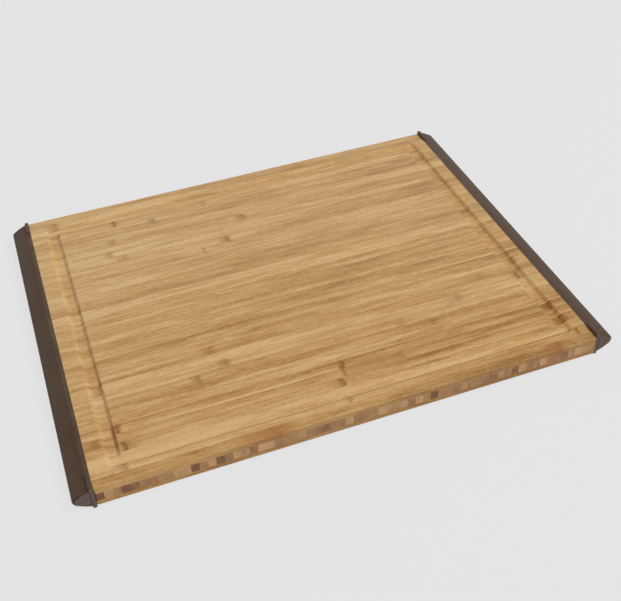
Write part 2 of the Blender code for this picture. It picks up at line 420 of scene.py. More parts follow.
@dataclass(frozen=True)
class FaceBamboo:
    """Oiled bamboo slats with fibres along the board, culm nodes and fine glue lines.

    Attributes:
        pitch: the width of a slat.
        front: the y of the first slat's front edge.
        top: the z of the grooved face.
        umber: the darkest colour of a slat, which brown, honey, pale and straw follow.
        stops: where these five lie between dark and light.
        node: the colour of a culm node.
        russet: the colour of a red one.
        burn_and_shade: the colour of a scorch, and of the painted shade on the front run's outer wall.
        glue: the colour of a glue line.
        cloud: the slowest layer of the grain, which drawn, streak and fleck refine.
        tone_weight: how strongly a slat's own tone shades it.
        grade_weight: how strongly its grade does.
        lean: how much darker the board gets to the right, per metre.
        fleck_share: how strongly the flecks show.
        routed: the depths between which a surface begins to count as a part of the groove.
        seam_reach: how far from its edge the glue stains a slat, at most and in full.
        seam_share: how strongly the stain shows.
        wobble: how far the drawn and the streaked grain move the edges of a culm node.
        tail_share: how strongly the tint shows that runs on from a node.
        roughness: the mean roughness.
        relief: the depth of the fibres.
    """

    pitch: float
    front: float
    top: float
    umber: Colour = (0.265, 0.119, 0.019)
    brown: Colour = (0.300, 0.145, 0.031)
    honey: Colour = (0.442, 0.252, 0.082)
    pale: Colour = (0.565, 0.358, 0.154)
    straw: Colour = (0.596, 0.385, 0.173)
    stops: Sequence[float] = (0.0, 0.1, 0.5, 0.9, 1.0)
    node: Colour = (0.205, 0.080, 0.004)
    russet: Colour = (0.305, 0.095, 0.010)
    burn_and_shade: Colour = (0.225, 0.070, 0.004)
    glue: Colour = (0.215, 0.098, 0.012)
    cloud: Grain = Grain((6, 120, 120), 1.0, 2.7)
    drawn: Grain = Grain((28, 320, 320), 2.0, 2.7)
    streak: Grain = Grain((75, 750, 750), 2.0, 1.3)
    fleck: Grain = Grain((270, 1200, 1200), 2.0, 1.8)
    tone_weight: float = 0.85
    grade_weight: float = 0.75
    lean: float = 1.3
    fleck_share: float = 0.25
    routed: Span = (0.1 * MM, 0.6 * MM)
    seam_reach: Span = (0.32 * MM, 0.02 * MM)
    seam_share: float = 0.52
    wobble: Span = (4 * MM, 5 * MM)
    tail_share: float = 0.50
    roughness: float = 0.44
    relief: float = 0.05 * MM

    def material(self) -> bpy.types.Material:
        """Return the material.

        Returns:
            A material that reads the looks stored on each slat.
        """
        material = bpy.data.materials.new("face_bamboo_oiled")
        graph = Graph(material)
        place = graph.place()
        x, y, z = graph.split(place)
        drift = graph.number_of("drift")
        across = graph.maths("FRACT", (y - self.front) / self.pitch) * 2 - 1

        shade = graph.number_of("tone") * self.tone_weight
        shade = shade - graph.number_of("grade") * self.grade_weight * across - x * self.lean
        layers = []
        for layer in (self.cloud, self.drawn, self.streak, self.fleck):
            layers.append(graph.grain(place, layer, drift))
            shade = shade + (layers[-1] - 0.5) * layer.weight
        _, drawn, streak, fleck = layers
        colours = (self.umber, self.brown, self.honey, self.pale, self.straw)
        colour = graph.ramp(shade * 0.4 + 0.5, list(zip(self.stops, colours)))
        colour = graph.mix(graph.ease(fleck, 0.58, 0.75) * self.fleck_share, colour, self.pale)
        colour = graph.mix(graph.ease(fleck, 0.38, 0.24) * self.fleck_share, colour, self.brown)

        routed = graph.ease(self.top - z, *self.routed) * graph.number_of("grooved")
        colour = self._with_nodes(graph, colour, x, drawn, streak)
        # burns on the groove's walls, with painted shade along the front run's outer wall
        colour = self._with_scorches_and_shade(graph, colour, (x, y), routed * (0.4 + streak))

        rim = (1 - abs(across)) * (self.pitch / 2)
        thin = graph.noise(graph.stretch(place, (14, 0, 0), drift), 1.0)
        seam = graph.ease(rim, *self.seam_reach) * graph.ease(thin, 0.25, 0.70)
        colour = graph.mix(seam * self.seam_share, colour, self.glue)

        height = streak * 0.5 + fleck * 0.5 - seam * 0.4
        graph.surface(graph.skin(
            Base_Color=colour,
            Roughness=self.roughness + (streak - 0.5) * 0.20 + routed * 0.30 + seam * 0.08,
            Normal=graph.relief(height, self.relief, 0.30),
        ))
        return material

    def _with_nodes(
        self, graph: Graph, colour: Socket, x: Socket, drawn: Socket, streak: Socket,
    ) -> Socket:
        """Add the slat's culm nodes: brown patches with one harder, darker end and a tint that runs on.

        Args:
            graph: the material's nodes.
            colour: the colour without them.
            x: the place along the board.
            drawn: a noise drawn out along the slat.
            streak: a finer one.

        Returns:
            The colour with them.
        """
        looks = [graph.triple_of(f"node_{name}") for name in ("at", "reach", "depth", "red", "tail")]
        wobble = (drawn - 0.5) * self.wobble[0] + (streak - 0.5) * self.wobble[1]
        for at, reach, depth, red, tail in zip(*looks):
            along = x - at + wobble
            patch = graph.ease(abs(along / reach), 1.35, 0.30)
            hard = graph.ease(abs(along / reach - 0.40), 0.60, 0.05)
            run = along / tail
            tint = graph.ease(run, 1.0, 0.1) * graph.ease(run, -0.05, 0.05)
            share = depth * patch * (0.75 + 0.50 * hard + (drawn - 0.5) * 1.5)
            colour = graph.mix(depth * tint * self.tail_share, colour, self.brown)
            colour = graph.mix(share, colour, graph.mix(red, self.node, self.russet))
        return colour

    def _with_scorches_and_shade(
        self, graph: Graph, colour: Socket, spot: tuple[Socket, Socket], where: Socket,
    ) -> Socket:
        """Add the burns on the walls of the groove, and the painted shade along the front run's outer
        wall.

        Args:
            graph: the material's nodes.
            colour: the colour without them.
            spot: the place along and across the board.
            where: how strongly the burns and the painted shade show.

        Returns:
            The colour with them.
        """
        for wall_mark in SCORCHES_AND_SHADE:
            off_x = abs((spot[0] - wall_mark.x) / wall_mark.half_width)
            off_y = abs((spot[1] - wall_mark.y) / wall_mark.half_length)
            burn_and_shade = graph.ease(off_x, 1.2, 0.3) * graph.ease(off_y, 1.2, 0.4)
            colour = graph.mix(burn_and_shade * where * wall_mark.depth, colour, self.burn_and_shade)
        return colour


@dataclass(frozen=True)
class CoreBamboo:
    """Bamboo strips of the core, which show the dots of their end grain at the front and the back.

    Attributes:
        brown: the darkest colour of a strip, which even and pale follow.
        dot: the colour of the dots.
        cloud: the slow layer of the grain.
        fibre: the fine one.
        bundles: how many dots a metre holds, along each axis.
        roughness: the mean roughness.
        shine: the strength of its gloss.
        relief: the depth of the fibres.
    """

    brown: Colour = (0.160, 0.073, 0.030)
    even: Colour = (0.318, 0.166, 0.070)
    pale: Colour = (0.475, 0.280, 0.132)
    dot: Colour = (0.130, 0.058, 0.024)
    cloud: Grain = Grain((300, 9, 150), 2.0, 1.6)
    fibre: Grain = Grain((1300, 40, 700), 2.0, 1.2)
    bundles: tuple[float, float, float] = (1500, 12, 1500)
    roughness: float = 0.56
    shine: float = 0.30
    relief: float = 0.05 * MM

    def material(self) -> bpy.types.Material:
        """Return the material.

        Returns:
            A material that reads the tone stored on each strip.
        """
        material = bpy.data.materials.new("core_bamboo_end_grain")
        graph = Graph(material)
        place = graph.place()
        drift = graph.number_of("drift")
        cloud, fibre = (graph.grain(place, layer, drift) for layer in (self.cloud, self.fibre))
        shade = graph.number_of("tone")
        shade = shade + (cloud - 0.5) * self.cloud.weight + (fibre - 0.5) * self.fibre.weight
        stops = ((0.0, self.brown), (0.5, self.even), (1.0, self.pale))
        colour = graph.ramp(shade * 0.5 + 0.5, stops)
        dots = graph.ease(graph.cells(graph.stretch(place, self.bundles, drift)), 0.34, 0.12)
        colour = graph.mix(dots * (0.10 + 0.35 * cloud), colour, self.dot)
        graph.surface(graph.skin(
            Base_Color=colour,
            Roughness=self.roughness + (fibre - 0.5) * 0.2,
            Specular_IOR_Level=self.shine,
            Normal=graph.relief(fibre * 0.6 - dots * 0.4, self.relief, 0.35),
        ))
        return material


@dataclass(frozen=True)
class SoftTouch:
    """Dark brown moulded skin with a fine matt grain, dusty and rubbed, and paler and rougher at its ends.

    Attributes:
        name: the material's name.
        deep: the colour of the skin.
        rubbed: the colour where hands have polished and dusted it.
        cut: the colour of its ends.
        half_length: the distance of the ends from the middle.
        roughness: the mean roughness.
        pits: its fine grain.
        cloud: the slow layer of its wear.
        mottle: the fine one.
        end_tint_edge: how far from its ends the paler colour begins to show, and where it shows in full.
        shine: the strength of its gloss.
        relief: the depth of its grain.
    """

    name: str
    deep: Colour
    rubbed: Colour
    cut: Colour
    half_length: float
    roughness: float
    pits: Grain
    cloud: Grain = Grain((26, 22, 60), 4.0, 0.6)
    mottle: Grain = Grain((400, 260, 400), 3.0, 0.4)
    end_tint_edge: Span = (0.30 * MM, 0.10 * MM)
    shine: float = 0.16
    relief: float = 0.05 * MM

    def material(self) -> bpy.types.Material:
        """Return the material.

        Returns:
            A material for both pieces of this kind.
        """
        material = bpy.data.materials.new(self.name)
        graph = Graph(material)
        place = graph.place()
        drift = graph.number_of("drift")
        layers = (self.cloud, self.mottle, self.pits)
        cloud, mottle, pits = (graph.grain(place, layer, drift) for layer in layers)
        wear = graph.ease(cloud * self.cloud.weight + mottle * self.mottle.weight, 0.36, 0.68)
        colour = graph.mix(wear, self.deep, self.rubbed)
        colour = graph.mix(graph.ease(pits, 0.55, 0.75) * 0.25, colour, self.rubbed)
        along = abs(graph.split(place)[1] - graph.number_of("slip"))
        end = graph.ease(self.half_length - along, *self.end_tint_edge)
        # paler and rougher at its ends
        colour = graph.mix(end * (0.6 + 0.5 * mottle), colour, self.cut)
        graph.surface(graph.skin(
            Base_Color=colour,
            Roughness=self.roughness + (mottle - 0.5) * 0.18 + (pits - 0.5) * 0.14 + end * 0.15,
            Specular_IOR_Level=self.shine,
            Normal=graph.relief(pits, self.relief, 0.30),
        ))
        return material


@dataclass(frozen=True)
class Finish:
    """A material with the name of its slot."""

    material: bpy.types.Material
    slot: str


def box_mesh(low: Vector, high: Vector) -> bmesh.types.BMesh:
    """Make a box.

    Args:
        low: its lowest corner.
        high: its highest corner.

    Returns:
        A bmesh of six faces.
    """
    builder = bmesh.new()
    bmesh.ops.create_cube(builder, size=1.0)
    bmesh.ops.scale(builder, vec=high - low, verts=builder.verts)
    bmesh.ops.translate(builder, vec=(low + high) / 2, verts=builder.verts)
    return builder


def edges_where(
    builder: bmesh.types.BMesh, test: Callable[[Vector, Vector], bool],
) -> list[bmesh.types.BMEdge]:
    """Find edges of a bmesh.

    Args:
        builder: the bmesh.
        test: takes an edge's middle and its direction.

    Returns:
        The edges that pass the test.
    """
    found = []
    for edge in builder.edges:
        start, end = (vert.co for vert in edge.verts)
        if test((start + end) / 2, (end - start).normalized()):
            found.append(edge)
    return found


def round_edges(
    builder: bmesh.types.BMesh, edges: Sequence[bmesh.types.BMEdge], radius: float, segments: int,
) -> None:
    """Round edges, or chamfer them with one segment, and shade a rounding smooth.

    Args:
        builder: the bmesh that holds them.
        edges: the edges.
        radius: the radius, or the chamfer's width.
        segments: the facets of the rounding.
    """
    made = bmesh.ops.bevel(
        builder, geom=edges, offset=radius, offset_type="OFFSET", affect="EDGES",
        segments=segments, profile=0.5, material=-1, clamp_overlap=True,
    )
    for face in made["faces"]:
        face.smooth = segments > 1


def add_loop(builder: bmesh.types.BMesh, points: Iterable[Sequence[float]]) -> list[bmesh.types.BMEdge]:
    """Draw a closed loop through points, and return its edges."""
    verts = [builder.verts.new(point) for point in points]
    return [builder.edges.new(pair) for pair in zip(verts, verts[1:] + verts[:1])]


def shade_round(builder: bmesh.types.BMesh, crease: float) -> None:
    """Shade a bmesh smooth, but for its creases.

    Args:
        builder: the bmesh.
        crease: the angle from which an edge is a crease.
    """
    for face in builder.faces:
        face.smooth = True
    for edge in builder.edges:
        edge.smooth = edge.calc_face_angle(0.0) < crease


def punch(
    builder: bmesh.types.BMesh, side: Vector, half_length: float, half_height: float, reach: float,
) -> None:
    """Raise a long bar from the middle of a flat side, or sink a slot in it.

    Args:
        builder: a bmesh about the X axis, with its length along Y.
        side: the outward direction of the flat side, along X.
        half_length: half the bar's length along Y.
        half_height: half its height along Z.
        reach: how far it stands out; below zero it is a slot.
    """
    def flat_faces() -> list[bmesh.types.BMFace]:
        """Return the faces that look to that side."""
        return [face for face in builder.faces if face.normal.dot(side) > ALONG]

    middle = max(flat_faces(), key=lambda face: face.calc_area())
    level = middle.calc_center_median().x
    cuts = (((0, half_length, 0), (0, 1, 0)), ((0, -half_length, 0), (0, 1, 0)),
            ((0, 0, half_height), (0, 0, 1)), ((0, 0, -half_height), (0, 0, 1)))
    for point, normal in cuts:
        geometry = [middle, *middle.edges, *middle.verts]
        bmesh.ops.bisect_plane(builder, geom=geometry, dist=SAME_POINT, plane_co=point, plane_no=normal)
        level_faces = [f for f in flat_faces() if abs(f.calc_center_median().x - level) < SAME_POINT]
        middle = min(level_faces, key=lambda face: face.calc_center_median().yz.length)
    raised = bmesh.ops.extrude_face_region(builder, geom=[middle])
    bmesh.ops.delete(builder, geom=[middle], context="FACES_ONLY")
    moved = [item for item in raised["geom"] if isinstance(item, bmesh.types.BMVert)]
    bmesh.ops.translate(builder, vec=side * reach, verts=moved)


def make_object(name: str, builder: bmesh.types.BMesh) -> bpy.types.Object:
    """Turn a bmesh into an object of the scene.

    Args:
        name: the object's name.
        builder: the bmesh, which is used up.

    Returns:
        The object, at the origin.
    """
    bmesh.ops.recalc_face_normals(builder, faces=builder.faces)
    mesh = bpy.data.meshes.new(name)
    builder.to_mesh(mesh)
    builder.free()
    item = bpy.data.objects.new(name, mesh)
    bpy.context.scene.collection.objects.link(item)
    return item


def cut_away(item: bpy.types.Object, cutter: bpy.types.Object) -> None:
    """Cut one object's shape out of another, for good, with creases round what is left flat.

    Args:
        item: the object that is cut.
        cutter: the object that cuts, which stays as it is.
    """
    modifier = item.modifiers.new(cutter.name, "BOOLEAN")
    modifier.operation = "DIFFERENCE"
    modifier.solver = "EXACT"
    modifier.object = cutter
    graph = bpy.context.evaluated_depsgraph_get()
    whole = item.data
    item.data = bpy.data.meshes.new_from_object(item.evaluated_get(graph))
    item.modifiers.clear()
    bpy.data.meshes.remove(whole)
    item.data.name = item.name
    builder = bmesh.new()
    builder.from_mesh(item.data)
    for edge in builder.edges:
        edge.smooth = all(face.smooth for face in edge.link_faces)
    builder.to_mesh(item.data)
    builder.free()


def write_number(mesh: bpy.types.Mesh, name: str, value: float) -> None:
    """Store one number for all of a mesh."""
    layer = mesh.attributes.new(name, "FLOAT", "POINT")
    layer.data.foreach_set("value", [value] * len(mesh.vertices))


def write_triple(mesh: bpy.types.Mesh, name: str, values: Iterable[float]) -> None:
    """Store three numbers for all of a mesh."""
    layer = mesh.attributes.new(name, "FLOAT_VECTOR", "POINT")
    layer.data.foreach_set("vector", list(values) * len(mesh.vertices))


def set_piece(item: bpy.types.Object, finish: Finish, node: str) -> None:
    """Give a piece its finish, and put it in the place of the solid that it stands for.

    Args:
        item: the piece.
        finish: its finish.
        node: the name of the solid.
    """
    item.data.materials.clear()
    item.data.materials.append(finish.material)
    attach(item, BODY)
    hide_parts(node)
    LOG.info("%s: %d faces, for %s", item.name, len(item.data.polygons), node)


@dataclass
class Board:
    """The glued-up board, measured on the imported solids.

    Attributes:
        low: its lowest corner.
        high: its highest corner.
        lower_joint: the z of the joint between the bottom ply and the core.
        upper_joint: the z of the joint between the core and the top ply.
        corner: the radius of its four upright corners.
        arris: the radius of the edges of its faces, at the front and the back.
        film: the thickness of the glue.
        chamfer: the width of the fine chamfer at each joint.
        corner_steps: the facets of a corner.
        arris_steps: the facets of an edge.
    """

    low: Vector
    high: Vector
    lower_joint: float
    upper_joint: float
    corner: float = 1.2 * MM
    arris: float = 1.6 * MM
    film: float = 0.02 * MM
    chamfer: float = 0.05 * MM
    corner_steps: int = 10
    arris_steps: int = 6

    @classmethod
    def from_frame(cls, last_stave: int) -> "Board":
        """Measure the board.

        Args:
            last_stave: the number of the last stave of each face.

        Returns:
            The board, with joints half-way between the solids of its plies.
        """
        bottom_low, bottom_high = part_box("bottom_stave_01")
        top_low, top_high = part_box(f"top_stave_{last_stave:02d}")
        core_low, core_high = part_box("core_stave_01")
        return cls(
            low=bottom_low,
            high=top_high,
            lower_joint=(bottom_high.z + core_low.z) / 2,
            upper_joint=(core_high.z + top_low.z) / 2,
        )


@dataclass
class Groove:
    """The juice groove, routed round the top face, with a narrow floor between two sloping walls.

    Attributes:
        board: the board.
        depth: its depth.
        end_inset: from the ends of the board to the groove's middle.
        side_inset: from the front and the back of the board to the groove's middle.
        shift: how far the whole groove lies to the right of the board's middle.
        outer_wall: the offsets from the groove's middle, outwards, of the outer wall's top and foot.
        inner_wall: the same for the inner wall's foot and top.
        breakout: how far above the face the walls level out.
        overcut: how far the bit stands above the face.
        crease: the angle from which an edge of the bit stays sharp.
        wall_steps: the facets of a wall.
        turn_steps: the facets of a corner.
    """

    board: Board
    depth: float = 1.9 * MM
    end_inset: float = 15.5 * MM
    side_inset: float = 17.1 * MM
    shift: float = 0.8 * MM
    outer_wall: Span = (5.8 * MM, 2.2 * MM)
    inner_wall: Span = (-1.6 * MM, -5.3 * MM)
    breakout: float = 0.04 * MM
    overcut: float = 4.0 * MM
    crease: float = math.radians(25)
    wall_steps: int = 14
    turn_steps: int = 10

    def section(self) -> list[tuple[float, float]]:
        """Draw the bit.

        Returns:
            The (offset, height) points of its section, from the outside of the groove to the inside.
        """
        rise = self.depth + self.breakout
        walls = []
        for start, end in (self.outer_wall, self.inner_wall):
            for step in range(self.wall_steps + 1):
                share = step / self.wall_steps
                walls.append((start + share * (end - start), share if start < 0 else 1 - share))
        points = [(self.outer_wall[0], self.overcut)]
        for offset, share in walls:
            points.append((offset, rise * (1 - math.cos(math.pi * share)) / 2 - self.depth))
        return [*points, (self.inner_wall[1], self.overcut)]

    def cutter(self) -> bpy.types.Object:
        """Make the ring that the bit sweeps, rounded at its outer corners and mitred at its inner ones.

        Returns:
            The ring.
        """
        path = Vector((self.board.high.x - self.end_inset, self.board.high.y - self.side_inset))
        builder = bmesh.new()
        loops = []
        for quarter, corner in enumerate(((1, 1), (-1, 1), (-1, -1), (1, -1))):
            side = Vector(corner)
            for step in range(self.turn_steps + 1):
                angle = (quarter + step / self.turn_steps) * math.pi / 2
                loops.append(add_loop(builder, self._station(side, path, angle)))
        for loop, following in zip(loops, loops[1:] + loops[:1]):
            bmesh.ops.bridge_loops(builder, edges=loop + following)
        bmesh.ops.remove_doubles(builder, verts=builder.verts, dist=SAME_POINT)
        bmesh.ops.recalc_face_normals(builder, faces=builder.faces)
        shade_round(builder, self.crease)
        return make_object("groove_bit", builder)

    def _station(self, side: Vector, path: Vector, angle: float) -> list[tuple[float, float, float]]:
        """Place the bit's section at one station of its path.

        Args:
            side: the signs of the corner's place.
            path: the corner of the path, with both signs positive.
            angle: how far the outer half of the section has turned.

        Returns:
            The points of the section.
        """
        points = []
        for offset, height in self.section():
            turned = Vector((math.cos(angle), math.sin(angle))) if offset > 0 else side
            spot = side * path + turned * offset
            points.append((spot.x + self.shift, spot.y, self.board.high.z + height))
        return points


@dataclass
class FacePly:
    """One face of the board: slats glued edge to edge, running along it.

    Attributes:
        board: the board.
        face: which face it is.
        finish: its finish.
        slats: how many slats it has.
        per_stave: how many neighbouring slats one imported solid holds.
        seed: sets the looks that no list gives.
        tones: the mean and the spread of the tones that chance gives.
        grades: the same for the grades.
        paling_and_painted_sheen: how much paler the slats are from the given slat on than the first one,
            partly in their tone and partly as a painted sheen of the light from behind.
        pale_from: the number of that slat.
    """

    board: Board
    face: Face
    finish: Finish
    slats: int
    per_stave: int
    seed: int
    tones: Span = (0.0, 0.17)
    grades: Span = (0.12, 0.14)
    paling_and_painted_sheen: float = 0.32
    pale_from: int = 17

    @property
    def pitch(self) -> float:
        """The width of a slat."""
        return (self.board.high.y - self.board.low.y) / self.slats

    def build(self, groove: bpy.types.Object | None = None) -> None:
        """Make the slats, from the front to the back.

        Args:
            groove: the cutter of the juice groove, for the face that has one.
        """
        chance = random.Random(self.seed)
        prefix = self.face.name.lower()
        for number in range(1, self.slats + 1):
            slat = make_object(f"{prefix}_slat_{number:02d}", self._slat_mesh(number))
            grooved = groove is not None and 1 < number < self.slats
            if grooved:
                cut_away(slat, groove)
            write_number(slat.data, "grooved", float(grooved))
            self._write_look(slat.data, number, chance)
            stave = (number - 1) // self.per_stave + 1
            set_piece(slat, self.finish, f"{prefix}_stave_{stave:02d}")

    def _slat_mesh(self, number: int) -> bmesh.types.BMesh:
        """Model a slat, with square ends for the rails, and rounded where it is an edge of the board.

        Args:
            number: its number, from the front.

        Returns:
            A bmesh in its place.
        """
        board = self.board
        front = board.low.y + (number - 1) * self.pitch
        joint, outside = board.upper_joint + board.film / 2, board.high.z
        if self.face is Face.BOTTOM:
            joint, outside = board.lower_joint - board.film / 2, board.low.z
        trim_front = 0.0 if number == 1 else board.film / 2
        trim_back = 0.0 if number == self.slats else board.film / 2
        builder = box_mesh(
            Vector((board.low.x, front + trim_front, min(joint, outside))),
            Vector((board.high.x, front + self.pitch - trim_back, max(joint, outside))),
        )
        free = {1: board.low.y, self.slats: board.high.y}.get(number)
        if free is not None:
            corners = edges_where(builder, lambda mid, way: (
                abs(way.z) > ALONG and abs(mid.y - free) < SAME_POINT
            ))
            round_edges(builder, corners, board.corner, board.corner_steps)
            near_free = board.corner + SAME_POINT
            rim = edges_where(builder, lambda mid, way: (
                abs(mid.z - outside) < SAME_POINT
                and abs(mid.y - free) < near_free
                and abs(way.y) < ALONG
            ))
            round_edges(builder, rim, board.arris, board.arris_steps)
        joints = edges_where(builder, lambda mid, way: (
            abs(mid.z - outside) < SAME_POINT
            and abs(way.x) > ALONG
            and (free is None or abs(mid.y - free) > self.pitch / 2)
        ))
        round_edges(builder, joints, board.chamfer, 1)
        return builder

    def _write_look(self, mesh: bpy.types.Mesh, number: int, chance: random.Random) -> None:
        """Store a slat's tone and culm nodes on its mesh.

        Args:
            mesh: the slat's mesh.
            number: its number, from the front.
            chance: the source of the looks that no list gives.
        """
        look = SlatLook(chance.gauss(*self.tones), chance.gauss(*self.grades))
        nodes = [CulmNode.in_mm(*[chance.uniform(*limits) for limits in NODE_RANGES])]
        drift = chance.uniform(*DRIFTS)
        if self.face is Face.TOP:
            look = SlatLook(*FRONT_SLATS[number]) if number in FRONT_SLATS else look
            nodes = [CulmNode.in_mm(*row) for row in TOP_NODES.get(number, ())]
        elif number == 1:
            # the front slat of the bottom face takes a darker tone: painted shade by the floor
            look = SHADED_LOWER_EDGE
        # Paler towards the back: partly tone, partly a painted sheen of the light from behind
        back_sheen_and_paling = self.paling_and_painted_sheen * min(1.0, (number - 1) / (self.pale_from - 1))
        write_number(mesh, "tone", look.tone + back_sheen_and_paling)
        write_number(mesh, "grade", look.grade)
        write_number(mesh, "drift", drift if look.drift is None else look.drift)
        nodes += [NO_NODE] * (NODES_PER_SLAT - len(nodes))
        for name in ("at", "reach", "depth", "red", "tail"):
            write_triple(mesh, f"node_{name}", [getattr(node, name) for node in nodes])


@dataclass
class CorePly:
    """The core of the board: strips glued side to side, running across it.

    Attributes:
        board: the board.
        finish: its finish.
        strips: how many strips it has.
        per_stave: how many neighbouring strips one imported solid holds.
        seed: sets the looks that no list gives.
        spread: how far chance moves a strip's tone.
        slot_reach: the depth of the slot for a rail's tongue.
        slot_height: its height.
        slot_stop: from the front and the back of the board to its ends.
        overcut: how far its cutter runs past the end of the board.
    """

    board: Board
    finish: Finish
    strips: int
    per_stave: int
    seed: int
    spread: float = 0.16
    slot_reach: float = 6.1 * MM
    slot_height: float = 3.4 * MM
    slot_stop: float = 16.6 * MM
    overcut: float = 4.0 * MM

    def build(self) -> None:
        """Make the strips, from the left to the right."""
        chance = random.Random(self.seed)
        slots = {end: self._slot(end) for end in End}
        pitch = (self.board.high.x - self.board.low.x) / self.strips
        slotted = math.ceil(self.slot_reach / pitch)
        for number in range(1, self.strips + 1):
            strip = make_object(f"core_strip_{number:02d}", self._strip_mesh(number, pitch))
            if number <= slotted:
                cut_away(strip, slots[End.LEFT])
            elif number > self.strips - slotted:
                cut_away(strip, slots[End.RIGHT])
            write_number(strip.data, "tone", self._tone(number).value + chance.gauss(0.0, self.spread))
            write_number(strip.data, "drift", chance.uniform(*DRIFTS))
            stave = (number - 1) // self.per_stave + 1
            set_piece(strip, self.finish, f"core_stave_{stave:02d}")
        for slot in slots.values():
            bpy.data.objects.remove(slot)

    @staticmethod
    def _tone(number: int) -> Tone:
        """Return the tone of a strip."""
        return next((tone for tone, strips in STRIP_TONES.items() if number in strips), Tone.EVEN)

    def _slot(self, end: End) -> bpy.types.Object:
        """Make the cutter of the slot that takes a rail's tongue.

        Args:
            end: the end of the board.

        Returns:
            The cutter.
        """
        board = self.board
        limit = board.high.x if end is End.RIGHT else board.low.x
        ends = sorted((limit - end.value * self.slot_reach, limit + end.value * self.overcut))
        middle = (board.low.z + board.high.z) / 2
        half = self.slot_height / 2
        return make_object(f"{end.name.lower()}_slot", box_mesh(
            Vector((ends[0], board.low.y + self.slot_stop, middle - half)),
            Vector((ends[1], board.high.y - self.slot_stop, middle + half)),
        ))

    def _strip_mesh(self, number: int, pitch: float) -> bmesh.types.BMesh:
        """Model a strip, with the board's corners on the outermost two.

        Args:
            number: its number, from the left.
            pitch: the width of a strip.

        Returns:
            A bmesh in its place.
        """
        board = self.board
        left = board.low.x + (number - 1) * pitch
        trim_left = 0.0 if number == 1 else board.film / 2
        trim_right = 0.0 if number == self.strips else board.film / 2
        builder = box_mesh(
            Vector((left + trim_left, board.low.y, board.lower_joint + board.film / 2)),
            Vector((left + pitch - trim_right, board.high.y, board.upper_joint - board.film / 2)),
        )
        free = {1: board.low.x, self.strips: board.high.x}.get(number)
        if free is not None:
            corners = edges_where(builder, lambda mid, way: (
                abs(way.z) > ALONG and abs(mid.x - free) < SAME_POINT
            ))
            round_edges(builder, corners, board.corner, board.corner_steps)
        joints = edges_where(builder, lambda mid, way: (
            abs(way.z) > ALONG and (free is None or abs(mid.x - free) > pitch / 2 + board.film)
        ))
        round_edges(builder, joints, board.chamfer, 1)
        return builder


